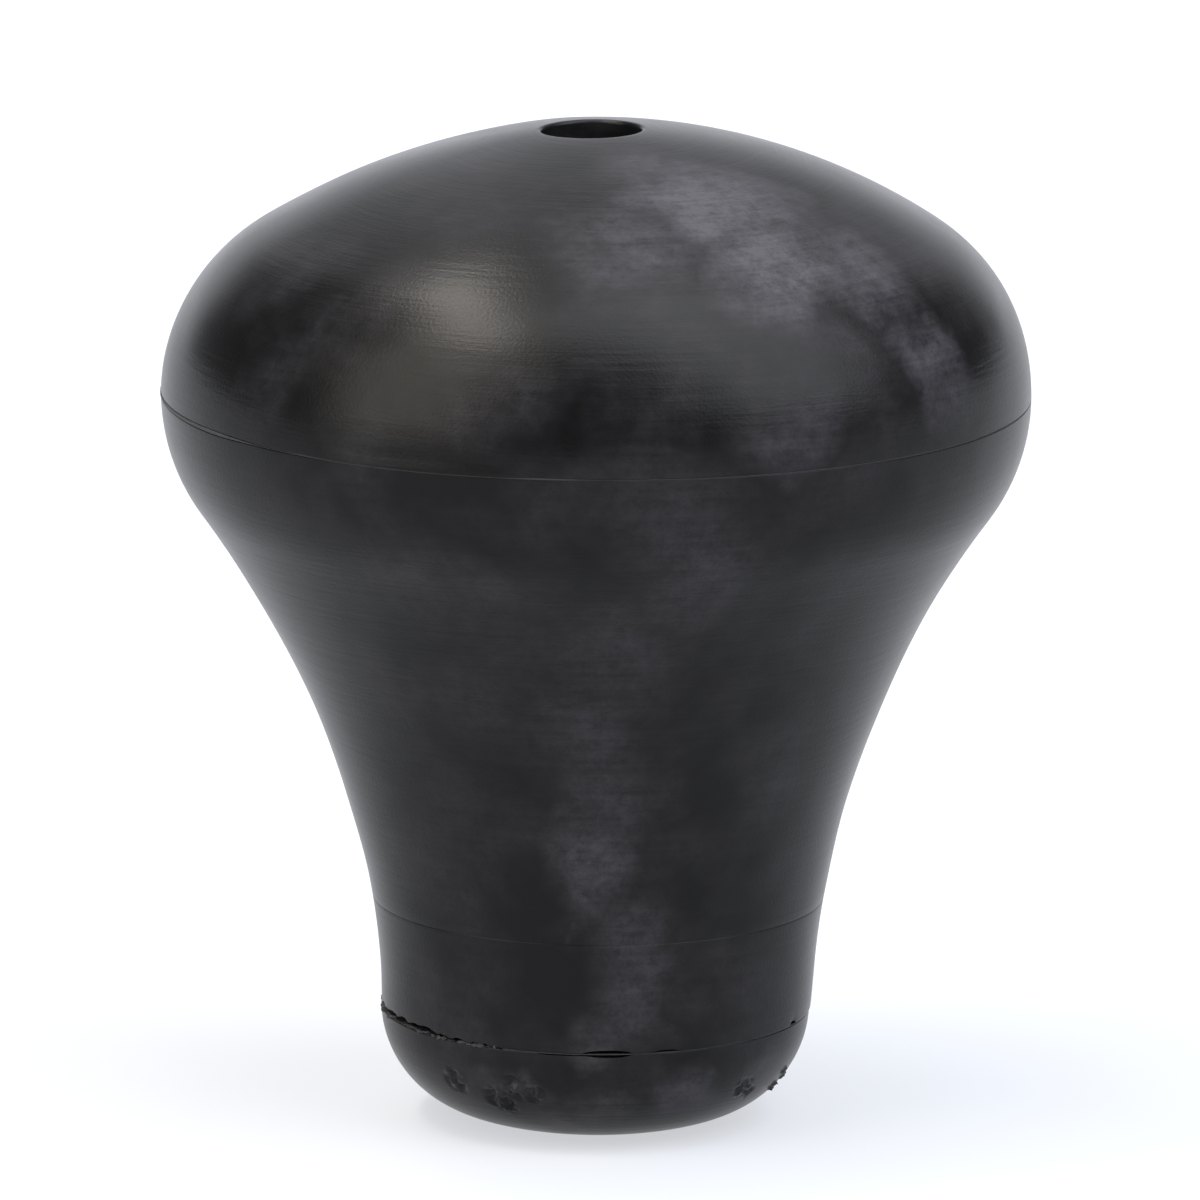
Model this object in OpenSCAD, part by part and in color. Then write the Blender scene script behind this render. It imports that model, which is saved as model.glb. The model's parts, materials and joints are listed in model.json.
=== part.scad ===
// Dust blower bulb: a hollow black rubber puffer for clearing dust from watch parts.
// A domed upper moulding is cemented on a waisted body at the equator, and a
// rounded base plug closes the neck. The air hole is in the crown of the dome.
// The outline is one chain of tangent arcs, walked from the equator up and down.
// Origin: middle of the foot, +Z up.

/* [Outline] */
// Widest diameter, at the equator seam
bulb_d = 50; // [49:0.5:53]
// Radius of the crown's edge above the equator
crown_edge_r = 11.4; // [10.5:0.1:12.5]
// Tilt of the wall where the crown's edge meets the cap (degrees)
cap_tilt = 56.5; // [52:0.5:60]
// Radius of the shoulder under the equator
shoulder_r = 11.2; // [10.5:0.1:12]
// Lean of the wall where the shoulder meets the flank (degrees)
flank_lean = 36; // [33:0.5:39]
// Radius of the hollow curve of the flank
flank_r = 56; // [50:1:60]
// Lean of the wall where the flank meets the neck (degrees)
neck_lean = 12.5; // [11:0.5:14]
// Radius of the hollow curve of the neck
neck_r = 44; // [38:1:50]
// Lean of the wall at the narrowest height of the neck (degrees)
side_lean = 2.5; // [1.5:0.5:4]
// Radius of the slightly bulged side of the base
side_r = 30; // [26:1:36]
// Lean of the wall where the side meets the bottom edge (degrees)
edge_lean = 5.5; // [4.5:0.5:7]
// Radius of the bottom edge
edge_r = 6.3; // [5.8:0.1:6.6]
// Tilt of the wall where the bottom edge meets the underside (degrees)
underside_tilt = 70.5; // [68:0.5:74]
// Radius of the flat foot
foot_r = 4.5; // [3.5:0.1:5]

/* [Walls] */
// Thickness of the rubber wall
wall = 2.6; // [2.2:0.1:3]
// Thickness of the rubber cement in the two seams
gum = 0.2; // [0.1:0.05:0.3]
// Depth of the stepped joint at the equator
tongue_depth = 2.5; // [2:0.1:3]
// Thickness of the dome's tongue inside the body's rim
tongue_t = 1.1; // [0.9:0.1:1.2]

/* [Air hole] */
// Diameter of the air hole in the crown
hole_d = 5.8; // [5:0.1:6.5]
// How far the air hole sits off the axis, along X
hole_offset = -0.6; // [-1:0.1:1]

/* [Base plug] */
// Height of the base seam above the foot
base_seam_z = 6.4; // [6.2:0.1:7]
// Height of the top of the plug's spigot
spigot_top_z = 13; // [12:0.1:14]
// Radius of the plug's spigot
spigot_r = 10; // [9.6:0.1:10.2]
// Thickness of the plug's floor
plug_floor = 4; // [3:0.1:5]
// Thickness of the spigot's wall
spigot_wall = 2.6; // [2.2:0.1:3.4]
// Width of the land that stops the spigot in the neck
land_w = 1.5; // [1:0.1:1.8]
// Height of that land
land_h = 2; // [1.5:0.1:3]

/* [Hidden] */
$fn = 128;
// Longest turn of one flat step along an arc, in degrees
arc_step = 4;
// Tall enough to cut past any part
far = 100;
bulb_r = bulb_d / 2;

// Outline stations are [radius, height, tilt of the outward normal].
function arc_end(s, r, tilt) = [
    s[0] + r * (cos(tilt) - cos(s[2])),
    s[1] + r * (sin(tilt) - sin(s[2])),
    tilt
];

// Walks arcs, each [radius, tilt at its end]; a negative radius is hollow.
function walk(s, arcs, i = 0) =
    i == len(arcs)
        ? [s]
        : concat(
            [
                for (k = [0 : steps(s, arcs[i]) - 1])
                    arc_end(s, arcs[i][0], s[2] + (arcs[i][1] - s[2]) * k / steps(s, arcs[i]))
            ],
            walk(arc_end(s, arcs[i][0], arcs[i][1]), arcs, i + 1)
        );

function steps(s, arc) = ceil(abs(arc[1] - s[2]) / arc_step);
function last(list) = list[len(list) - 1];
function reversed(list) = [for (i = [len(list) - 1 : -1 : 0]) list[i]];
function raised(list, dz) = [for (s = list) [s[0], s[1] + dz, s[2]]];
function inside(list, t) = [for (s = list) [s[0] - t * cos(s[2]), s[1] - t * sin(s[2])]];
function flat(list) = [for (s = list) [s[0], s[1]]];

equator = [bulb_r, 0, 0];
side_arcs = [
    [shoulder_r, -flank_lean],
    [-flank_r, -neck_lean],
    [-neck_r, -side_lean],
    [side_r, -edge_lean],
    [edge_r, -underside_tilt]
];
edge_end = last(walk(equator, side_arcs));
underside_r = (edge_end[0] - foot_r) / cos(underside_tilt);
lower = walk(equator, concat(side_arcs, [[underside_r, -90]]));
crown_end = last(walk(equator, [[crown_edge_r, cap_tilt]]));
cap_r = crown_end[0] / cos(cap_tilt);
upper = walk(equator, [[crown_edge_r, cap_tilt], [cap_r, 90]]);

equator_z = -last(lower)[1];
bulb_h = equator_z + last(upper)[1];
// From the edge of the foot to just short of the pole
outline = raised(concat(reversed(lower), [for (i = [1 : len(upper) - 2]) upper[i]]), equator_z);

tongue_r = bulb_r - wall + tongue_t;
socket_r = spigot_r + gum;
land_r = socket_r - land_w;
spigot_bore_r = spigot_r - spigot_wall;
land_z = spigot_top_z + gum;
echo(equator_z = equator_z, bulb_h = bulb_h, cap_r = cap_r, underside_r = underside_r);

// Half sections, X as radius and Y as height
module solid_half() {
    polygon(concat([[0, 0]], flat(outline), [[0, bulb_h]]));
}

module skin_half() {
    difference() {
        solid_half();
        polygon(concat([[0, wall]], flat(inside(outline, wall)), [[0, bulb_h - wall]]));
    }
}

module band(r1, r2, z1, z2) {
    translate([r1, z1])
        square([r2 - r1, z2 - z1]);
}

// Land inside the neck, blended upwards into the wall
module land_half() {
    polygon([
        [land_r, land_z],
        [socket_r + wall / 2, land_z],
        [socket_r + wall / 2, land_z + land_h + land_w],
        [land_r + land_w, land_z + land_h + land_w],
        [land_r, land_z + land_h]
    ]);
}

module dome_shell() {
    color("#2b2a2b")
        difference() {
            rotate_extrude() {
                intersection() {
                    skin_half();
                    band(0, bulb_d, equator_z + gum / 2, far);
                }
                band(bulb_r - wall, tongue_r, equator_z - tongue_depth, equator_z + wall);
            }
            translate([hole_offset, 0, equator_z])
                cylinder(d = hole_d, h = far);
        }
}

module equator_gum_ring() {
    color("#6b665c")
        rotate_extrude() {
            intersection() {
                solid_half();
                band(tongue_r, bulb_d, equator_z - gum / 2, equator_z + gum / 2);
            }
            band(tongue_r, tongue_r + gum, equator_z - tongue_depth, equator_z);
        }
}

module body_shell() {
    color("#242324")
        rotate_extrude()
            difference() {
                union() {
                    intersection() {
                        skin_half();
                        band(0, bulb_d, base_seam_z + gum / 2, equator_z - gum / 2);
                    }
                    land_half();
                }
                band(0, socket_r, 0, land_z);
                band(0, tongue_r + gum, equator_z - tongue_depth - gum, equator_z);
            }
}

module base_gum_ring() {
    color("#6b665c")
        rotate_extrude() {
            intersection() {
                solid_half();
                band(spigot_r, bulb_d, base_seam_z - gum / 2, base_seam_z + gum / 2);
            }
            band(spigot_r, socket_r, base_seam_z, spigot_top_z);
        }
}

module base_plug() {
    color("#1f1e1f")
        rotate_extrude()
            difference() {
                union() {
                    intersection() {
                        solid_half();
                        band(0, bulb_d, 0, base_seam_z - gum / 2);
                    }
                    band(0, spigot_r, plug_floor, spigot_top_z);
                }
                band(0, spigot_bore_r, plug_floor, far);
            }
}

dome_shell();
equator_gum_ring();
body_shell();
base_gum_ring();
base_plug();
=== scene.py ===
# %% [markdown]
# # A rubber blower bulb, lathed in Blender
# The bulb is a hollow black rubber skin: a dome with one air hole, cemented on a
# waisted body, and a rounded plug that closes the neck. Every part of it was
# turned or moulded round one axis. It could be sculpted from a sphere, but then the
# arcs would wander, so each piece here is drawn as a half section with true arcs and
# then spun round Z. Wear, tears and bloom come after that.

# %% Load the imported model
import json
import math

import bpy
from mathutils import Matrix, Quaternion, Vector


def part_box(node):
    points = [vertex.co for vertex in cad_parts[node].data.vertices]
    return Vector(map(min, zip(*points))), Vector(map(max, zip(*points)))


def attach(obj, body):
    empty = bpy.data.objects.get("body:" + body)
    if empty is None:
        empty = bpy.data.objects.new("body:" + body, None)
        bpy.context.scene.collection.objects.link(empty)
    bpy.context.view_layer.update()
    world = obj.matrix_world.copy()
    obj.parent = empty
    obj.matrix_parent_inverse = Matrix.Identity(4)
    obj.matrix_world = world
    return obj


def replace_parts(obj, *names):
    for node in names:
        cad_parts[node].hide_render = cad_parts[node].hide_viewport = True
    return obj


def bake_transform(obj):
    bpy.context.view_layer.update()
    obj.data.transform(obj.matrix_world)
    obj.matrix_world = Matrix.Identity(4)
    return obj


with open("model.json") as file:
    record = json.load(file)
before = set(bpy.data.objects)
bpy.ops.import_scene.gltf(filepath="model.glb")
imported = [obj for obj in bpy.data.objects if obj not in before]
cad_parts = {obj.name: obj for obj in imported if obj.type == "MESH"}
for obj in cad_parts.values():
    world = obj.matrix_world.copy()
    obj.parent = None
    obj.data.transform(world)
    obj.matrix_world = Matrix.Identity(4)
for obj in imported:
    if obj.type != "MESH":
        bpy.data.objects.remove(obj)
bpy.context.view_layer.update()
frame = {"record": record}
mm = 0.001

# %% [markdown]
# ## Places that come from the model
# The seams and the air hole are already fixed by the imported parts. Reading them
# from the nodes' boxes keeps every piece here where its CAD part is.

# %% Read the seams and the hole from the nodes
bulb_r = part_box("dome_shell")[1].x
equator_z = (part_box("body_shell")[1].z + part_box("equator_gum_ring")[1].z) / 2
base_seam_z = (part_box("body_shell")[0].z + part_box("base_gum_ring")[0].z) / 2
spigot_top_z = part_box("base_plug")[1].z
air_hole = next(m for m in frame["record"]["mounts"] if m["name"] == "air_hole")
hole_r = air_hole["dims"]["r_mm"] * mm
hole_x = air_hole["pos_m"][0]
print(f"equator at {equator_z / mm:.2f} mm, base seam at {base_seam_z / mm:.2f} mm")

# %% [markdown]
# ## The camera
# The bulb was looked at from a little above and from far away through a long
# lens, so its outline is almost a true elevation. The camera is placed by its
# distance and elevation round a point near the middle of the bulb.

# %% Place the camera
CAMERA_DISTANCE = 803 * mm
CAMERA_ELEVATION = math.radians(12.2)
CAMERA_ROLL = math.radians(0.44)
aim = Vector((0.1 * mm, 0, 30.3 * mm))
back = Vector((0, -math.cos(CAMERA_ELEVATION), math.sin(CAMERA_ELEVATION)))

bpy.ops.object.select_all(action="DESELECT")
bpy.ops.object.camera_add(location=aim + back * CAMERA_DISTANCE)
camera = bpy.context.object
camera.rotation_mode = "QUATERNION"
facing = (-back).to_track_quat("-Z", "Y")
camera.rotation_quaternion = facing @ Quaternion((0, 0, 1), CAMERA_ROLL)
camera.data.sensor_width = 36
camera.data.lens = 418
camera.data.clip_start, camera.data.clip_end = 0.1, 100
bpy.context.scene.camera = camera
print("camera at", [round(c, 3) for c in camera.location])

# %% [markdown]
# ## Colours and nodes
# Colours are picked as sRGB codes, as in a colour picker, but shaders work in linear
# light, so one function converts them. Node trees could be wired by hand, line after
# line. One helper that adds a node, sets it and feeds it keeps them readable.

# %% Convert a colour
def srgb(code):
    """An sRGB hex colour such as "2b2b2d" as linear RGBA."""
    parts = [int(code[i : i + 2], 16) / 255 for i in (0, 2, 4)]
    return [((c + 0.055) / 1.055) ** 2.4 if c > 0.04045 else c / 12.92 for c in parts] + [1]


BARE_RUBBER = srgb("0b0b0c")
# The grey of the bloom; low on the foot it is also a painted reflection of the floor
BLOOM_AND_REFLECTION_GREY = srgb("424146")
print("bare rubber in linear light:", [round(c, 4) for c in BARE_RUBBER])

# %% Add a node with its settings and links
def add_node(tree, kind, inputs=(), **settings):
    """Adds a node, sets its settings, and feeds its inputs with (socket, output or value)."""
    node = tree.nodes.new(kind)
    for name, value in settings.items():
        if hasattr(node, name):
            setattr(node, name, value)
        else:
            node.inputs[name.replace("_", " ")].default_value = value
    for socket, source in inputs:
        if isinstance(source, bpy.types.NodeSocket):
            tree.links.new(source, node.inputs[socket])
        else:
            node.inputs[socket].default_value = source
    return node


# %% [markdown]
# ## The floor
# The bulb stands on a pale matt sheet that is lit from below as well as from above,
# so that its shadow nearly vanishes and its foot still gets light. A white floor in
# the studio light alone would leave a dark pool under the foot.

# %% Lay the floor
FLOOR_SIZE = 60
FLOOR_DROP = 0.02 * mm
FROM_BELOW = 0.6
bpy.ops.object.select_all(action="DESELECT")
bpy.ops.mesh.primitive_plane_add(size=FLOOR_SIZE, location=(0, 0, -FLOOR_DROP))
floor = bpy.context.object
floor.name = "light_table"
sheet = bpy.data.materials.new("matt_paper_sheet")
sheet.use_nodes = True
paper = sheet.node_tree.nodes["Principled BSDF"]
paper.inputs["Base Color"].default_value = srgb("83868b")
paper.inputs["Emission Color"].default_value = srgb("f9fbff")
paper.inputs["Emission Strength"].default_value = FROM_BELOW
paper.inputs["Roughness"].default_value = 0.9
paper.inputs["Specular IOR Level"].default_value = 0
floor.data.materials.append(sheet)
print(f"the floor is {FLOOR_SIZE} m wide")

# %% [markdown]
# ## The light
# Black rubber shows its form by what it mirrors, so the light is a set of large soft
# boxes. Lamps would light the floor unevenly. These boxes are drawn in the World
# instead, as patches of brightness on the far sky: from there they light the floor
# evenly however far it runs, and their square soft shapes show in the rubber. One
# narrow box hangs over the left, with a broad one to the left of the camera, a big
# one in front on the right and a dim one overhead. A pale wall behind the bulb
# edges its outline.

# %% Start the sky
world = bpy.data.worlds.new("studio")
world.use_nodes = True
sky = world.node_tree
direction = add_node(sky, "ShaderNodeTexCoord").outputs["Generated"]
WARM, COOL = "fff7ec", "f6f8ff"
print("cool light:", [round(c, 3) for c in srgb(COOL)])

# %% Draw a soft box on the sky
def inside(offset, facing, width, soft):
    """1 within an angular width and 0 outside it, easing over soft degrees."""
    half, edge = math.tan(math.radians(width / 2)), math.tan(math.radians(soft))
    ratio = add_node(sky, "ShaderNodeMath", [(0, offset), (1, facing)], operation="DIVIDE")
    size = add_node(sky, "ShaderNodeMath", [(0, ratio.outputs[0])], operation="ABSOLUTE")
    ease = add_node(
        sky,
        "ShaderNodeMapRange",
        [("Value", size.outputs[0])],
        interpolation_type="SMOOTHSTEP",
        From_Min=half + edge / 2,
        From_Max=half - edge / 2,
    )
    return ease.outputs["Result"]


def glow(amount, level, colour):
    """Light of a colour, as bright as a level times an amount."""
    full = [level * c for c in srgb(colour)[:3]]
    scaled = add_node(
        sky, "ShaderNodeVectorMath", [(0, full), ("Scale", amount)], operation="SCALE"
    )
    return scaled.outputs[0]


def soft_box(azimuth, elevation, width, height, soft, level, colour):
    """The light of one box. Azimuth turns from +Y towards +X; angles in degrees."""
    a, e = math.radians(azimuth), math.radians(elevation)
    towards = Vector((math.sin(a) * math.cos(e), math.cos(a) * math.cos(e), math.sin(e)))
    right = Vector((math.cos(a), -math.sin(a), 0))
    facing, aside, above = [
        add_node(
            sky, "ShaderNodeVectorMath", [(0, direction), (1, axis)], operation="DOT_PRODUCT"
        ).outputs["Value"]
        for axis in (towards, right, right.cross(towards))
    ]
    in_front = add_node(sky, "ShaderNodeMath", [(0, facing), (1, 0)], operation="GREATER_THAN")
    total = in_front.outputs[0]
    for shape in (inside(aside, facing, width, soft), inside(above, facing, height, soft)):
        both = add_node(sky, "ShaderNodeMath", [(0, total), (1, shape)], operation="MULTIPLY")
        total = both.outputs[0]
    return glow(total, level, colour)


# %% Draw the foot of the studio's walls
def skirting(level, colour):
    """A low pale band all round the horizon, so that a low view has no dark strip."""
    up = add_node(sky, "ShaderNodeSeparateXYZ", [(0, direction)]).outputs["Z"]
    low = add_node(sky, "ShaderNodeMapRange", [("Value", up)], From_Min=0.05, From_Max=0.03)
    return glow(low.outputs["Result"], level, colour)


# %% Hang the boxes and walls in a dim room
LIGHTS = [
    soft_box(azimuth=-83, elevation=68, width=40, height=8, soft=8, level=22, colour=WARM),
    soft_box(azimuth=-124, elevation=36, width=36, height=60, soft=18, level=4.6, colour=WARM),
    soft_box(azimuth=121, elevation=56, width=48, height=80, soft=25, level=5.0, colour=COOL),
    soft_box(azimuth=4, elevation=55, width=58, height=58, soft=25, level=1.05, colour=COOL),
    soft_box(azimuth=0, elevation=8, width=66, height=22, soft=12, level=1.2, colour=COOL),
    skirting(level=1.0, colour=COOL),
]
ROOM = 0.11
total = glow(1, ROOM, COOL)
for light in LIGHTS:
    both = add_node(sky, "ShaderNodeVectorMath", [(0, total), (1, light)], operation="ADD")
    total = both.outputs[0]
sky.links.new(total, sky.nodes["Background"].inputs["Color"])
bpy.context.scene.world = world
bpy.context.scene.view_settings.view_transform = "Standard"
print(f"{len(LIGHTS)} lights on the sky")

# %% [markdown]
# ## Drawing with a pen
# A lathe needs a half section. The pen below is one vertex: `begin` puts it down,
# `arc` spins it about a centre so that each arc leaves the last one without a
# kink, and `draw` extrudes it straight. `lathe` closes the outline, spins it once
# round Z and welds it. The tilt is the angle of the outward normal. A profile could
# also be typed as a list of points, but arcs that know their centres stay exact.

# %% Put the pen down
pen = {}


def begin(name, r, z, tilt):
    """Starts a piece with one vertex at radius r and height z."""
    bpy.ops.object.select_all(action="DESELECT")
    bpy.ops.mesh.primitive_plane_add(size=mm, location=(r, 0, z))
    piece = bpy.context.object
    piece.name = piece.data.name = name
    bpy.ops.object.transform_apply(location=True, rotation=True, scale=True)
    bpy.ops.object.mode_set(mode="EDIT")
    bpy.ops.mesh.select_all(action="SELECT")
    bpy.ops.mesh.merge(type="CENTER")
    pen.update(r=r, z=z, tilt=tilt, arcs=[])
    return piece


print("a pen that draws half sections in the XZ plane")

# %% Spin the pen's vertex along an arc
def swing(centre, degrees, spacing):
    """Spins the vertex about a centre (r, z); a positive turn raises the tilt."""
    reach = math.hypot(pen["r"] - centre[0], pen["z"] - centre[1])
    steps = max(1, round(abs(math.radians(degrees)) * reach / spacing))
    bpy.ops.mesh.spin(
        steps=steps,
        angle=math.radians(degrees),
        center=(centre[0], 0, centre[1]),
        axis=(0, 1, 0),
    )
    start = math.atan2(pen["z"] - centre[1], pen["r"] - centre[0])
    end = start + math.radians(degrees)
    pen["r"] = centre[0] + reach * math.cos(end)
    pen["z"] = centre[1] + reach * math.sin(end)
    pen["tilt"] += degrees


def arc(radius, tilt, spacing):
    """An arc that leaves without a kink and ends at a tilt; a negative radius is hollow."""
    t = math.radians(pen["tilt"])
    centre = (pen["r"] - radius * math.cos(t), pen["z"] - radius * math.sin(t))
    pen["arcs"].append((centre, radius, pen["tilt"], tilt))
    swing(centre, tilt - pen["tilt"], spacing)


def tilt_at(radius, z):
    """The tilt that an arc of this radius, started here, has at a height z."""
    return math.degrees(math.asin(math.sin(math.radians(pen["tilt"])) + (z - pen["z"]) / radius))


print("arcs are spun in steps of a given length")

# %% Draw straight, and close the lathe
SEGMENTS = 480
SHARP = 50


def draw(r, z, tilt, steps=1):
    """A straight stretch to a radius and height."""
    move = ((r - pen["r"]) / steps, 0, (z - pen["z"]) / steps)
    for _ in range(steps):
        bpy.ops.mesh.extrude_region_move(TRANSFORM_OT_translate={"value": move})
    pen.update(r=r, z=z, tilt=tilt)


def lathe(piece):
    """Closes the outline, screws it once round Z, welds it and turns its faces outwards."""
    weld = 0.001 * mm
    bpy.ops.mesh.select_all(action="SELECT")
    bpy.ops.mesh.remove_doubles(threshold=weld)
    bpy.ops.object.mode_set(mode="OBJECT")
    bpy.ops.object.modifier_add(type="SCREW")
    screw = piece.modifiers[0]
    screw.axis = "Z"
    screw.angle = math.tau
    screw.steps = screw.render_steps = SEGMENTS
    bpy.ops.object.modifier_apply(modifier=screw.name)
    bpy.ops.object.mode_set(mode="EDIT")
    bpy.ops.mesh.select_all(action="SELECT")
    bpy.ops.mesh.remove_doubles(threshold=weld)
    bpy.ops.mesh.normals_make_consistent(inside=False)
    bpy.ops.mesh.select_all(action="DESELECT")
    bpy.ops.object.mode_set(mode="OBJECT")
    bpy.ops.object.shade_smooth_by_angle(angle=math.radians(SHARP))
    print(f"{piece.name}: {len(piece.data.vertices)} vertices")


print(f"{SEGMENTS} steps round the axis; edges over {SHARP} degrees stay sharp")

# %% [markdown]
# ## The outline
# One chain of tangent arcs runs from the equator up to the crown and down to the
# foot. The radii and tilts are the same as in the CAD part, so that each lathed
# piece lies on its CAD solid to a few hundredths of a millimetre.

# %% Name the arcs of the outline
WALL = 2.6 * mm
CROWN_EDGE_R, CAP_TILT = 11.4 * mm, 56.5
CAP_R = (bulb_r - CROWN_EDGE_R) / math.cos(math.radians(CAP_TILT)) + CROWN_EDGE_R
SHOULDER_R, FLANK_LEAN = 11.2 * mm, 36
FLANK_R, NECK_LEAN = 56 * mm, 12.5
NECK_R, SIDE_LEAN = 44 * mm, 2.5
SIDE_R, EDGE_LEAN = 30 * mm, 5.5
EDGE_R, UNDERSIDE_TILT = 6.3 * mm, 70.5
FOOT_R = 4.5 * mm
print(f"the cap of the dome has a radius of {CAP_R / mm:.2f} mm")

# %% Name the sizes of seams and edges
FINE = 0.12 * mm
COARSE = 0.5 * mm
HIDDEN = 1.6 * mm
SEAM_GAP = 0.08 * mm
SEAM_EDGE = 0.04 * mm
HOLE_EDGE = 0.22 * mm
TONGUE_DEPTH = 2.5 * mm
TONGUE_R = bulb_r - WALL + 1.1 * mm
SOCKET_R = 10.2 * mm
SPIGOT_R = 10 * mm
LAND_R = 8.7 * mm
LAND_Z = spigot_top_z + 0.2 * mm
RING_CUT = 0.02 * mm
SPIGOT_BORE_R = 7.4 * mm
PLUG_FLOOR = 4 * mm
PLUG_FILLET = 1.5 * mm
FILM = 0.07 * mm
SLEEVE = 0.2 * mm
print(f"seams {SEAM_GAP / mm:.2f} mm wide, drawn every {FINE / mm:.2f} mm")

# %% [markdown]
# ## The dome
# The upper moulding is drawn from its rounded lower edge, over the crown, down
# the air hole and back along the inner wall to the tongue that fits in the body.
# The hole is spun in the middle first. Sliding the ring of the hole sideways with
# a soft falloff then moves it off the axis and keeps the topology clean.

# %% Draw the dome's half section and lathe it
def lathe_dome():
    bottom = equator_z + SEAM_GAP / 2
    dome = begin("dome_moulding", bulb_r - SEAM_EDGE, bottom, -90)
    edge_tilt = math.degrees(math.asin((SEAM_GAP / 2 + SEAM_EDGE) / CROWN_EDGE_R))
    arc(SEAM_EDGE, edge_tilt, SEAM_EDGE / 3)
    arc(CROWN_EDGE_R, 4, FINE)
    arc(CROWN_EDGE_R, CAP_TILT, COARSE)
    rim_tilt = math.degrees(math.acos((hole_r + HOLE_EDGE) / CAP_R))
    arc(CAP_R, rim_tilt - 3, COARSE)
    arc(CAP_R, rim_tilt, COARSE / 2)
    crown_centre, cap_centre = pen["arcs"][1][0], pen["arcs"][-1][0]
    arc(HOLE_EDGE, 180, HOLE_EDGE / 5)
    inner_tilt = math.degrees(math.acos(hole_r / (CAP_R - WALL)))
    inner_z = cap_centre[1] + (CAP_R - WALL) * math.sin(math.radians(inner_tilt))
    draw(hole_r, inner_z, inner_tilt, 5)
    swing(cap_centre, CAP_TILT - inner_tilt, HIDDEN)
    swing(crown_centre, -CAP_TILT, HIDDEN)
    draw(bulb_r - WALL, equator_z - TONGUE_DEPTH, 180, 3)
    draw(TONGUE_R, equator_z - TONGUE_DEPTH, -90)
    draw(TONGUE_R, bottom, 0, 3)
    draw(bulb_r - SEAM_EDGE, bottom, -90, 4)
    lathe(dome)
    return dome


dome = lathe_dome()

# %% [markdown]
# ## The body
# The flank and neck moulding runs from the rim under the dome down to the base
# seam. A fine ring is turned into the neck where the plug inside it ends. A Solidify
# modifier could give it its wall, but not the steps that hold the dome and the plug,
# so the inner wall is drawn too, about the same centres, a wall closer in.

# %% Draw the outside of the body
def cut_ring():
    """A fine groove across the neck: down in, round its floor and out to the same arc."""
    tilt = pen["tilt"]
    end = tilt_at(-NECK_R, pen["z"] - 4 * RING_CUT * math.sin(math.radians(60)))
    arc(RING_CUT, tilt - 60, RING_CUT / 2)
    arc(-RING_CUT, tilt + 60, RING_CUT / 2)
    arc(RING_CUT, end, RING_CUT / 2)


def draw_body_outside():
    body = begin("body_moulding", bulb_r - SEAM_EDGE, equator_z - SEAM_GAP / 2, 90)
    edge_tilt = math.degrees(math.asin((SEAM_GAP / 2 + SEAM_EDGE) / SHOULDER_R))
    arc(SEAM_EDGE, -edge_tilt, SEAM_EDGE / 3)
    arc(SHOULDER_R, -5, FINE)
    arc(SHOULDER_R, -FLANK_LEAN, COARSE)
    arc(-FLANK_R, -NECK_LEAN, COARSE)
    arc(-NECK_R, tilt_at(-NECK_R, spigot_top_z), COARSE)
    cut_ring()
    arc(-NECK_R, -SIDE_LEAN, COARSE / 2)
    arc(SIDE_R, tilt_at(SIDE_R, base_seam_z + SEAM_GAP / 2 + SEAM_EDGE), FINE)
    arc(SEAM_EDGE, -90, SEAM_EDGE / 3)
    return body


body = draw_body_outside()
body_arcs = list(pen["arcs"])
shoulder_arc, flank_arc, neck_arc = body_arcs[2:5]
side_arc = body_arcs[-2]
print(f"the body ends at radius {pen['r'] / mm:.2f} mm, height {pen['z'] / mm:.2f} mm")

# %% Draw the inside of the body and lathe it
def lathe_body():
    bottom = pen["z"]
    land_top = LAND_Z + 3.5 * mm
    draw(SOCKET_R, bottom, -90, 6)
    draw(SOCKET_R, LAND_Z, 180, 5)
    draw(LAND_R, LAND_Z, -90)
    draw(LAND_R, LAND_Z + 2 * mm, 180)
    draw(SOCKET_R, land_top, 150)
    neck_centre, flank_centre, shoulder_centre = neck_arc[0], flank_arc[0], shoulder_arc[0]
    inner_neck_r = NECK_R + WALL
    start = math.asin((neck_centre[1] - land_top) / inner_neck_r)
    draw(neck_centre[0] - inner_neck_r * math.cos(start), land_top, 90)
    swing(neck_centre, -NECK_LEAN - math.degrees(start), HIDDEN)
    swing(flank_centre, NECK_LEAN - FLANK_LEAN, HIDDEN)
    ledge_z = equator_z - TONGUE_DEPTH - 0.2 * mm
    ledge = math.degrees(math.asin((ledge_z - shoulder_centre[1]) / (SHOULDER_R - WALL)))
    swing(shoulder_centre, FLANK_LEAN + ledge, HIDDEN)
    draw(TONGUE_R + 0.2 * mm, ledge_z, 90)
    draw(TONGUE_R + 0.2 * mm, equator_z - SEAM_GAP / 2, 180, 3)
    draw(bulb_r - SEAM_EDGE, equator_z - SEAM_GAP / 2, 90, 4)
    lathe(body)


lathe_body()

# %% [markdown]
# ## The base plug
# The plug is one moulding too: a rounded foot with a cored spigot that is cemented
# up inside the neck. Its half section starts and ends on the axis, so the lathe
# closes it there, and no cap has to be filled in afterwards.

# %% Draw the plug's half section and lathe it
def outline_r(z):
    """The radius of the lower outline at a height."""
    for centre, radius, tilt, end in OUTLINE:
        heights = [centre[1] + radius * math.sin(math.radians(t)) for t in (tilt, end)]
        if min(heights) <= z <= max(heights):
            reach = math.sqrt(radius**2 - (z - centre[1]) ** 2)
            return centre[0] + math.copysign(reach, radius)
    return bulb_r


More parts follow.
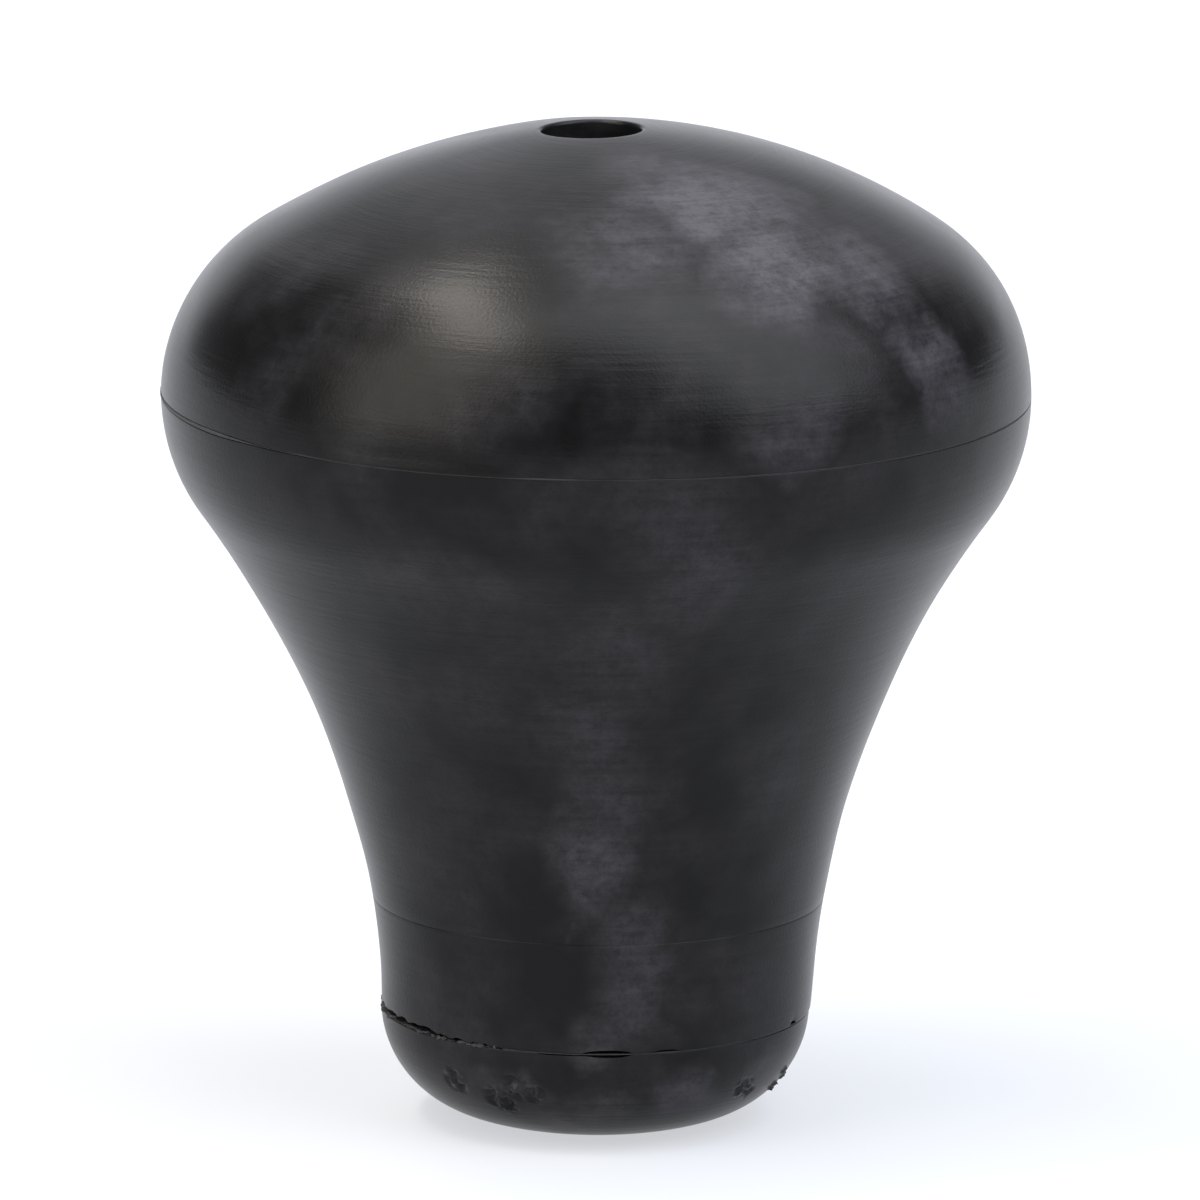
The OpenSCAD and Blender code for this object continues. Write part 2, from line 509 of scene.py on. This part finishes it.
def lathe_plug():
    top = base_seam_z - SEAM_GAP / 2
    centre, radius = side_arc[0], side_arc[1]
    tilt = math.asin((top - SEAM_EDGE - centre[1]) / (radius - SEAM_EDGE))
    edge_r = centre[0] + (radius - SEAM_EDGE) * math.cos(tilt)
    plug = begin("plug_moulding", 0, PLUG_FLOOR, 90)
    draw(SPIGOT_BORE_R - PLUG_FILLET, PLUG_FLOOR, 90, 5)
    swing((pen["r"], PLUG_FLOOR + PLUG_FILLET), 90, HIDDEN / 2)
    draw(SPIGOT_BORE_R, spigot_top_z, 180, 4)
    draw(SPIGOT_R, spigot_top_z, 90)
    draw(SPIGOT_R, top, 0, 4)
    draw(edge_r, top, 90, 6)
    arc(SEAM_EDGE, math.degrees(tilt), SEAM_EDGE / 3)
    arc(SIDE_R, -EDGE_LEAN, FINE)
    arc(EDGE_R, -UNDERSIDE_TILT, FINE)
    underside_r = (pen["r"] - FOOT_R) / math.cos(math.radians(UNDERSIDE_TILT))
    arc(underside_r, -90, COARSE)
    arcs = list(pen["arcs"])
    print(f"the foot ends at height {pen['z'] / mm:.3f} mm")
    draw(0, pen["z"], -90, 6)
    lathe(plug)
    return plug, arcs


plug, plug_arcs = lathe_plug()
seam_side = (side_arc[0], side_arc[1], side_arc[2], -EDGE_LEAN)
OUTLINE = body_arcs[1:5] + body_arcs[8:9] + [seam_side] + plug_arcs[2:]

# %% [markdown]
# ## Cement in the seams
# Both seams are glued with rubber cement. What squeezed out dried to a thin, dull,
# lighter film. A painted line would stay flat where the seam gapes, so each film is
# a piece: a flange that fills the seam and a sleeve behind it.

# %% Lathe the two films of cement
def lathe_film(name, flange_r, seam_z, sleeve_r, sleeve_z):
    """A flange at the seam out to flange_r, and a sleeve from the seam to sleeve_z."""
    thin = FILM / 2
    outward = math.copysign(1, sleeve_z - seam_z)
    film = begin(name, sleeve_r, sleeve_z, 0)
    draw(sleeve_r + SLEEVE, sleeve_z, 0)
    draw(sleeve_r + SLEEVE, seam_z + outward * thin, 0, 4)
    draw(flange_r - thin, seam_z + outward * thin, 0, 6)
    swing((flange_r - thin, seam_z), -180 * outward, thin)
    draw(sleeve_r, seam_z - outward * thin, 0, 6)
    draw(sleeve_r, sleeve_z, 0, 4)
    lathe(film)
    return film


equator_film = lathe_film(
    "equator_cement", bulb_r - 0.04 * mm, equator_z, TONGUE_R, equator_z - TONGUE_DEPTH
)
base_film = lathe_film(
    "base_cement", outline_r(base_seam_z) - 0.01 * mm, base_seam_z, SPIGOT_R, spigot_top_z
)

# %% [markdown]
# ## Moving the skin a little
# Seams that gape, a hole that is off centre and pits in the foot are all small
# moves of the skin. They could be sculpted by hand, but not repeated exactly. Here
# each one is a vertex group, weighted by place, and a Displace modifier that pushes
# the group evenly or with the lumps of a clouds texture.
# Azimuth 0 is the front and positive azimuths are on the right.

# %% Weigh the skin by place
def fade(value, low, high, soft):
    """1 between low and high, and easing to 0 over a soft margin on either side."""
    t = min(1, max(0, min(value - low, high - value) / soft + 1))
    return t * t * (3 - 2 * t)


def lens(value, middle, half):
    """A rounded hump of the given half width."""
    return math.sqrt(max(0, 1 - ((value - middle) / half) ** 2))


def weigh(piece, rule):
    """A vertex group whose weights are rule(azimuth, radius, height)."""
    group = piece.vertex_groups.new(name="worked")
    for vertex in piece.data.vertices:
        x, y, z = vertex.co
        weight = rule(math.degrees(math.atan2(x, -y)), math.hypot(x, y), z)
        if weight > 0:
            group.add([vertex.index], weight, "REPLACE")
    return group


print("half weight half way into a soft margin:", fade(-0.5, 0, 1, 1))

# %% Push what is weighed
def push(piece, rule, distance, axis="NORMAL", lumps=0, middle=0, contrast=1):
    """Displaces the weighed skin, evenly or with lumps of a given size."""
    bpy.ops.object.select_all(action="DESELECT")
    bpy.context.view_layer.objects.active = piece
    piece.select_set(True)
    group = weigh(piece, rule)
    bpy.ops.object.modifier_add(type="DISPLACE")
    displace = piece.modifiers[0]
    displace.vertex_group = group.name
    displace.direction = axis
    displace.strength = distance
    displace.mid_level = middle
    if lumps:
        clouds = bpy.data.textures.new("lumps", "CLOUDS")
        clouds.noise_scale = lumps
        clouds.noise_depth = 3
        clouds.contrast = contrast
        displace.texture = clouds
        displace.texture_coords = "LOCAL"
    bpy.ops.object.modifier_apply(modifier=displace.name)
    piece.vertex_groups.clear()
    print(f"{piece.name} pushed by {distance / mm:.2f} mm")


# %% Slide the air hole to its place
def slide_hole(soft):
    """Turns the ring of the hole about the centre of the cap, so it stays on the cap."""
    bpy.ops.object.select_all(action="DESELECT")
    bpy.context.view_layer.objects.active = dome
    dome.select_set(True)
    for vertex in dome.data.vertices:
        vertex.select = math.hypot(vertex.co.x, vertex.co.y) < hole_r + 2 * HOLE_EDGE
    cap_z = equator_z + (CROWN_EDGE_R - CAP_R) * math.sin(math.radians(CAP_TILT))
    bpy.ops.object.mode_set(mode="EDIT")
    # With no window, a positive value turns from +Z towards -X here
    bpy.ops.transform.rotate(
        value=-math.asin(hole_x / CAP_R),
        orient_axis="Y",
        center_override=(0, 0, cap_z),
        use_proportional_edit=True,
        proportional_edit_falloff="SMOOTH",
        proportional_size=soft,
    )
    bpy.ops.object.mode_set(mode="OBJECT")


slide_hole(soft=8 * mm)
reach = hole_r + 0.01 * mm
rim = [v.co.x for v in dome.data.vertices if math.hypot(v.co.x - hole_x, v.co.y) < reach]
print(f"the hole runs from x {min(rim) / mm:.2f} to {max(rim) / mm:.2f} mm")

# %% Let the bulb lean
# The dome and the waist have settled a little to the left, and the neck to the right
for piece in (dome, body, equator_film):
    push(piece, lambda a, r, z: fade(z, 32 * mm, 42.6 * mm, 9 * mm), -0.21 * mm, axis="X")
push(body, lambda a, r, z: fade(z, 9 * mm, 14 * mm, 5 * mm), 0.12 * mm, axis="X")


def slump(azimuth, radius, height):
    """The left shoulder of the dome has sunk a little."""
    side = fade(azimuth, -110, -70, 55)
    return side * fade(radius, 9 * mm, 17 * mm, 7 * mm) * (height > equator_z + 3 * mm)


push(dome, slump, -0.24 * mm, axis="Z")

# %% [markdown]
# ## Open seams
# The base seam has come unstuck on the left: the body's edge has lifted and torn,
# and crumbs of cement hang in the gap. In front it gapes in two small lenses, and
# the rest is closed. At the equator a ridge of cement stands proud on the far left,
# and the dome's edge bulges a little next to it. The gaps are made by pushing the
# skin near the seam, because a cut would need new edges that no longer match.

# %% Open the base seam
def above_base_seam(radius, height):
    """1 at the body's outer edge, fading upwards."""
    rise = max(0, 1 - (height - base_seam_z) / (1.3 * mm)) ** 2
    return rise * fade(radius, 11.9 * mm, bulb_r, 0.8 * mm) * (height < base_seam_z + 1.3 * mm)


def below_base_seam(radius, height):
    """1 at the plug's outer edge, fading downwards."""
    fall = max(0, 1 - (base_seam_z - height) / (1.0 * mm)) ** 2
    on_side = radius > 11.2 * mm and height < base_seam_z
    return fall * fade(radius, 11.9 * mm, bulb_r, 0.6 * mm) * on_side


push(
    body,
    lambda a, r, z: above_base_seam(r, z) * fade(a, -89, -52, 6),
    0.24 * mm,
    axis="Z",
)
push(
    body,
    lambda a, r, z: above_base_seam(r, z) * fade(a, -110, -30, 4),
    0.55 * mm,
    axis="Z",
    lumps=0.8 * mm,
    middle=0.3,
    contrast=1.6,
)
push(
    body,
    lambda a, r, z: above_base_seam(r, z) * max(lens(a, 3.5, 6.5), 0.6 * lens(a, 19.3, 3.5)),
    0.2 * mm,
    axis="Z",
)
push(
    body,
    lambda a, r, z: above_base_seam(r, z) * lens(a, 66, 2),
    0.25 * mm,
    axis="Z",
)
push(
    plug,
    lambda a, r, z: below_base_seam(r, z) * max(lens(a, 3.5, 6), 0.4 * fade(a, -13, 0, 3)),
    -0.18 * mm,
    axis="Z",
)

# %% Break up the base cement
push(
    base_film,
    lambda a, r, z: fade(a, -115, -27, 3) * fade(r, 11.6 * mm, bulb_r, 0.4 * mm),
    0.3 * mm,
    lumps=0.35 * mm,
    middle=0.55,
    contrast=2,
)

# %% Raise the ridge at the equator
def near_equator(height, reach):
    """1 at the equator seam, fading both ways."""
    return max(0, 1 - abs(height - equator_z) / reach)


# A proud ridge on the far left, a lip left of the front, and nearly flush on the right
push(
    equator_film,
    lambda a, r, z: fade(a, -125, -62, 14) * (r > bulb_r - 0.3 * mm),
    0.1 * mm,
)
push(
    equator_film,
    lambda a, r, z: fade(a, -36, -8, 10) * (r > bulb_r - 0.3 * mm),
    0.05 * mm,
)
push(
    equator_film,
    lambda a, r, z: fade(a, 6, 180, 8) * (r > bulb_r - 0.3 * mm),
    0.015 * mm,
)
push(
    dome,
    lambda a, r, z: fade(a, -120, -58, 12) * near_equator(z, 1 * mm) * (r > bulb_r - 0.6 * mm),
    0.1 * mm,
    axis="Z",
)
push(
    body,
    lambda a, r, z: fade(a, -120, -62, 12) * near_equator(z, 1 * mm) * (r > bulb_r - 0.6 * mm),
    -0.09 * mm,
    axis="Z",
)
push(
    dome,
    lambda a, r, z: fade(a, -36, -14, 8) * near_equator(z, 0.7 * mm) * (r > bulb_r - 0.3 * mm),
    0.07 * mm,
)

# %% [markdown]
# ## Wear at the foot
# The foot is pitted on the left where the mould let go badly, it is scuffed on the
# right, and a little torn flash still hangs on its right side. Bump would not show
# against the outline, so the pits and the flash are lumps of the skin itself.

# %% Pit and scuff the foot
def near(spots, azimuth, height):
    """The strongest of some round spots: (azimuth, height, reach) with a soft edge."""
    best = 0
    for spot_azimuth, spot_height, reach in spots:
        across = math.radians(azimuth - spot_azimuth) * 11.5 * mm
        gap = math.hypot(across, height - spot_height)
        best = max(best, fade(gap, 0, 0.5 * reach, 0.5 * reach))
    return best


PITS = [
    (-42.5, 3.9 * mm, 0.9 * mm),
    (-29.5, 3.2 * mm, 0.9 * mm),
    (-26, 2.7 * mm, 0.6 * mm),
    (-22.5, 4.1 * mm, 1.0 * mm),
    (-17, 3.7 * mm, 0.7 * mm),
    (48, 3.4 * mm, 0.8 * mm),
    (52, 2.9 * mm, 0.5 * mm),
]
FLASH = [
    (71, 3.4 * mm, 0.35 * mm),
    (74, 3.0 * mm, 0.3 * mm),
    (70, 2.5 * mm, 0.35 * mm),
]
push(
    plug,
    lambda a, r, z: near(PITS, a, z) if r > 8 * mm and z < 6 * mm else 0,
    0.5 * mm,
    lumps=0.55 * mm,
    middle=0.62,
    contrast=2.2,
)
push(
    plug,
    lambda a, r, z: near(FLASH, a, z) if r > 8 * mm and z < 6 * mm else 0,
    0.3 * mm,
    lumps=0.3 * mm,
    middle=0.1,
    contrast=2,
)

# %% [markdown]
# ## Rubber
# Moulded natural rubber filled with carbon black is almost black and only half
# glossy: its skin copies the mould, which was turned on a lathe, so fine rings run
# round it. With age, wax rises to the surface as a grey bloom that fingers rub
# into patches. Patches could be painted on an image, but nodes that read Object
# coordinates, in metres, keep every size real and need no file.
# Three patches low on the foot are painted reflection: they lighten its rim where it mirrors the
# pale floor.

# %% List the patches of bloom, and of painted reflection on the foot
def crown_r(z):
    """The radius of the dome's outline at a height."""
    turn = (z - equator_z) / CROWN_EDGE_R
    if turn < math.sin(math.radians(CAP_TILT)):
        return bulb_r - CROWN_EDGE_R + CROWN_EDGE_R * math.sqrt(1 - turn**2)
    cap_z = equator_z + (CROWN_EDGE_R - CAP_R) * math.sin(math.radians(CAP_TILT))
    return math.sqrt(max(0, CAP_R**2 - (z - cap_z) ** 2))


# Azimuth in degrees, then height, reach, how much taller than wide, and strength
BLOOM_AND_PAINTED_REFLECTION = [
    (16, 57.0 * mm, 4.5 * mm, 1, 0.65),
    (30, 55.5 * mm, 6.5 * mm, 1, 1.4),
    (5, 54.0 * mm, 6 * mm, 1, 0.6),
    (33, 53.0 * mm, 6 * mm, 1, 1.2),
    (46, 52.5 * mm, 5.5 * mm, 1, 0.8),
    (52, 47.5 * mm, 3.5 * mm, 1.6, 0.8),
    (24, 44.5 * mm, 5 * mm, 0.6, 0.5),
    (9, 40.0 * mm, 5.5 * mm, 1, 0.45),
    (13, 37.0 * mm, 5.5 * mm, 1.4, 0.5),
    (4, 32.0 * mm, 5.5 * mm, 1.3, 0.4),
    (-1, 26.5 * mm, 4.5 * mm, 1.2, 0.45),
    (3, 22.0 * mm, 4.0 * mm, 1.5, 0.5),
    (1, 17.5 * mm, 4.0 * mm, 1.4, 0.85),
    (11, 11.5 * mm, 3.8 * mm, 1.5, 0.65),
    (1, 8.0 * mm, 2.8 * mm, 1, 0.7),
    (-26, 36.0 * mm, 5.5 * mm, 0.5, 0.35),
    (-15, 35.0 * mm, 4.5 * mm, 0.6, 0.3),
    (-21, 28.0 * mm, 5 * mm, 1, 0.25),
    (-33, 21.0 * mm, 4.5 * mm, 1.2, 0.2),
    (-7, 15.0 * mm, 0.8 * mm, 6, 0.8),
    (-34, 3.9 * mm, 2.5 * mm, 1, 0.5),
    (-18, 4.0 * mm, 2.2 * mm, 1, 0.8),
    (2, 2.8 * mm, 3.2 * mm, 1, 0.7),
    # Painted reflection: these three patches lighten the foot's rim where it mirrors the pale
    # floor
    (-14, 1.8 * mm, 2.8 * mm, 1, 0.8),
    (30, 3.2 * mm, 3.0 * mm, 1, 0.7),
    (52, 4.4 * mm, 2.6 * mm, 1, 0.6),
    (-3, 5.7 * mm, 1.2 * mm, 0.7, 0.9),
]
print(f"{len(BLOOM_AND_PAINTED_REFLECTION)} patches of bloom")


# %% Lay one patch of bloom, or of the foot's painted reflection
def bloom_and_reflection_patch(tree, place, azimuth, z, reach, tall, strength):
    """One soft patch on the outline, as a Fac."""
    a = math.radians(azimuth)
    r = outline_r(z) if z < equator_z else crown_r(z)
    centre = (r * math.sin(a), -r * math.cos(a), z)
    spread = (reach, reach, reach * tall)
    offset = add_node(
        tree, "ShaderNodeVectorMath", [(0, place), (1, centre)], operation="SUBTRACT"
    )
    size = add_node(
        tree, "ShaderNodeVectorMath", [(0, offset.outputs[0]), (1, spread)], operation="DIVIDE"
    )
    gap = add_node(tree, "ShaderNodeVectorMath", [(0, size.outputs[0])], operation="LENGTH")
    patch = add_node(
        tree,
        "ShaderNodeMapRange",
        [("Value", gap.outputs["Value"])],
        interpolation_type="SMOOTHSTEP",
        From_Min=1.15,
        From_Max=0,
        To_Max=strength,
    )
    return patch.outputs["Result"]


# %% Run the turning lines round the skin
LINE_LENGTH = 7 * mm
LINE_SPACING = 0.5 * mm


def turning_lines(tree, place, crown):
    """Noise squashed across the outline, so that it runs round the axis in fine lines."""
    axes = add_node(tree, "ShaderNodeSeparateXYZ", [(0, place)])
    flat = add_node(
        tree, "ShaderNodeCombineXYZ", [("X", axes.outputs["X"]), ("Y", axes.outputs["Y"])]
    )
    radius = add_node(tree, "ShaderNodeVectorMath", [(0, flat.outputs[0])], operation="LENGTH")
    along = add_node(
        tree,
        "ShaderNodeMath",
        [(0, axes.outputs["Z"]), (1, radius.outputs["Value"])],
        operation="SUBTRACT" if crown else "ADD",
    )
    turned = add_node(
        tree,
        "ShaderNodeCombineXYZ",
        [("X", axes.outputs["X"]), ("Y", axes.outputs["Y"]), ("Z", along.outputs[0])],
    )
    cell = (LINE_LENGTH, LINE_LENGTH, LINE_SPACING)
    squashed = add_node(
        tree, "ShaderNodeVectorMath", [(0, turned.outputs[0]), (1, cell)], operation="DIVIDE"
    )
    lines = add_node(
        tree,
        "ShaderNodeTexNoise",
        [("Vector", squashed.outputs[0])],
        Scale=1,
        Detail=3,
        Roughness=0.65,
    )
    return lines.outputs["Fac"]


print(f"a turning line every {LINE_SPACING / mm:.1f} mm")

# %% Cover the skin with bloom, and with painted reflection on the foot
DRIFT = 5 * mm
DRIFT_REACH = 7 * mm
MOTTLE = 1.1 * mm
LINE_SHARE = 0.35


def bloom_and_reflection_cover(tree, place, lines):
    """Patches bent out of round by a slow noise, then broken up by mottle and lines."""
    drift = add_node(
        tree, "ShaderNodeTexNoise", [("Vector", place)], Scale=1 / DRIFT, Detail=3
    )
    shift = add_node(
        tree,
        "ShaderNodeVectorMath",
        [(0, drift.outputs["Color"]), (1, (0.5, 0.5, 0.5))],
        operation="SUBTRACT",
    )
    bent = add_node(
        tree,
        "ShaderNodeVectorMath",
        [(0, shift.outputs[0]), (1, (DRIFT_REACH, DRIFT_REACH, DRIFT_REACH)), (2, place)],
        operation="MULTIPLY_ADD",
    )
    haze = add_node(
        tree,
        "ShaderNodeMapRange",
        [("Value", drift.outputs["Fac"])],
        From_Min=0.4,
        From_Max=0.8,
        To_Max=0.3,
    )
    total = haze.outputs["Result"]
    for patch in BLOOM_AND_PAINTED_REFLECTION:
        spot = bloom_and_reflection_patch(tree, bent.outputs[0], *patch)
        most = add_node(tree, "ShaderNodeMath", [(0, total), (1, spot)], operation="MAXIMUM")
        total = most.outputs[0]
    mottle = add_node(
        tree,
        "ShaderNodeTexNoise",
        [("Vector", place)],
        Scale=1 / MOTTLE,
        Detail=6,
        Roughness=0.85,
    )
    streaky = add_node(
        tree,
        "ShaderNodeMath",
        [(0, lines), (1, LINE_SHARE), (2, mottle.outputs["Fac"])],
        operation="MULTIPLY_ADD",
    )
    broken = add_node(
        tree,
        "ShaderNodeMapRange",
        [("Value", streaky.outputs[0])],
        From_Min=0.5,
        From_Max=0.85,
        To_Min=0.3,
        To_Max=1.1,
    )
    cover = add_node(
        tree, "ShaderNodeMath", [(0, total), (1, broken.outputs["Result"])], operation="MULTIPLY"
    )
    return cover.outputs[0]


print(f"bloom mottled at {MOTTLE / mm:.1f} mm")

# %% Give the skin its relief
LINE_DEPTH = 0.06 * mm
GRAIN = 0.18 * mm
GRAIN_DEPTH = 0.02 * mm


def relief(tree, place, lines):
    """The turning lines, and the grain of a blasted mould, coarser than real so it shows."""
    grain = add_node(tree, "ShaderNodeTexNoise", [("Vector", place)], Scale=1 / GRAIN, Detail=2)
    line_bump = add_node(
        tree, "ShaderNodeBump", [("Height", lines)], Strength=0.3, Distance=LINE_DEPTH
    )
    grain_bump = add_node(
        tree,
        "ShaderNodeBump",
        [("Height", grain.outputs["Fac"]), ("Normal", line_bump.outputs["Normal"])],
        Strength=0.5,
        Distance=GRAIN_DEPTH,
    )
    return grain_bump.outputs["Normal"]


print(f"relief {LINE_DEPTH / mm:.2f} mm deep in the lines, {GRAIN_DEPTH / mm:.2f} mm in the grain")

# %% Build the rubber and lay it on
# Carbon black leaves hardly any base colour, so the eye sees only soft, dim
# highlights, and a lighter, duller veil where the bloom lies. Low on the foot the
# same veil is a painted reflection of the pale floor.
CLEAN_ROUGHNESS, BLOOM_ROUGHNESS = 0.28, 0.5
RUBBER_SPECULAR = 0.15


def moulded_rubber(name, crown):
    """Rubber for the dome if crown is true, else for the body and the plug."""
    material = bpy.data.materials.new(name)
    material.use_nodes = True
    tree = material.node_tree
    shader = tree.nodes["Principled BSDF"]
    shader.inputs["Specular IOR Level"].default_value = RUBBER_SPECULAR
    place = add_node(tree, "ShaderNodeTexCoord").outputs["Object"]
    lines = turning_lines(tree, place, crown)
    # The cover holds the bloom, and the painted reflection on the foot
    bloom = bloom_and_reflection_cover(tree, place, lines)
    tint = add_node(
        tree,
        "ShaderNodeMix",
        [("Factor", bloom), ("A", BARE_RUBBER), ("B", BLOOM_AND_REFLECTION_GREY)],
        data_type="RGBA",
    )
    dull = add_node(
        tree,
        "ShaderNodeMapRange",
        [("Value", bloom)],
        To_Min=CLEAN_ROUGHNESS,
        To_Max=BLOOM_ROUGHNESS,
    )
    tree.links.new(tint.outputs["Result"], shader.inputs["Base Color"])
    tree.links.new(dull.outputs["Result"], shader.inputs["Roughness"])
    tree.links.new(relief(tree, place, lines), shader.inputs["Normal"])
    return material


crown_rubber = moulded_rubber("moulded_rubber_crown", True)
body_rubber = moulded_rubber("moulded_rubber_body", False)
dome.data.materials.append(crown_rubber)
body.data.materials.append(body_rubber)
plug.data.materials.append(body_rubber)
print(f"{len(body_rubber.node_tree.nodes)} nodes in the body's rubber")

# %% [markdown]
# ## Dried cement
# Rubber cement is rubber in a solvent. Once the solvent has gone, a thin skin is
# left: duller and a shade greyer than the moulded rubber, and cloudy where dust
# stuck to it. It could share the rubber's nodes, but it has no lines and no bloom,
# so a plain noise between two greys is truer.

# %% Build the cement's nodes
CLOUD = 0.8 * mm
CEMENT_ROUGHNESS = 0.6


def dried_cement():
    """Dried rubber cement: to the eye a dull dark grey, cloudy at the size of its crumbs."""
    material = bpy.data.materials.new("dried_rubber_cement")
    material.use_nodes = True
    tree = material.node_tree
    shader = tree.nodes["Principled BSDF"]
    shader.inputs["Roughness"].default_value = CEMENT_ROUGHNESS
    place = add_node(tree, "ShaderNodeTexCoord").outputs["Object"]
    cloud = add_node(tree, "ShaderNodeTexNoise", [("Vector", place)], Scale=1 / CLOUD, Detail=3)
    grey = add_node(
        tree,
        "ShaderNodeMix",
        [("Factor", cloud.outputs["Fac"]), ("A", srgb("0e0e0f")), ("B", srgb("2c2d30"))],
        data_type="RGBA",
    )
    tree.links.new(grey.outputs["Result"], shader.inputs["Base Color"])
    return material


cement = dried_cement()
equator_film.data.materials.append(cement)
base_film.data.materials.append(cement)
print(f"cement clouded at {CLOUD / mm:.1f} mm")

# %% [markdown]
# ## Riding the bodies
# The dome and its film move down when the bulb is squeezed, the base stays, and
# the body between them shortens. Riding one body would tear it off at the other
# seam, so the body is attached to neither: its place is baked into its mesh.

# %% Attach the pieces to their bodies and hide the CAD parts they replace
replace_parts(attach(dome, "dome"), "dome_shell")
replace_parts(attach(equator_film, "dome"), "equator_gum_ring")
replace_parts(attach(plug, "base"), "base_plug")
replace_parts(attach(base_film, "base"), "base_gum_ring")
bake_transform(body)
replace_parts(body, "body_shell")
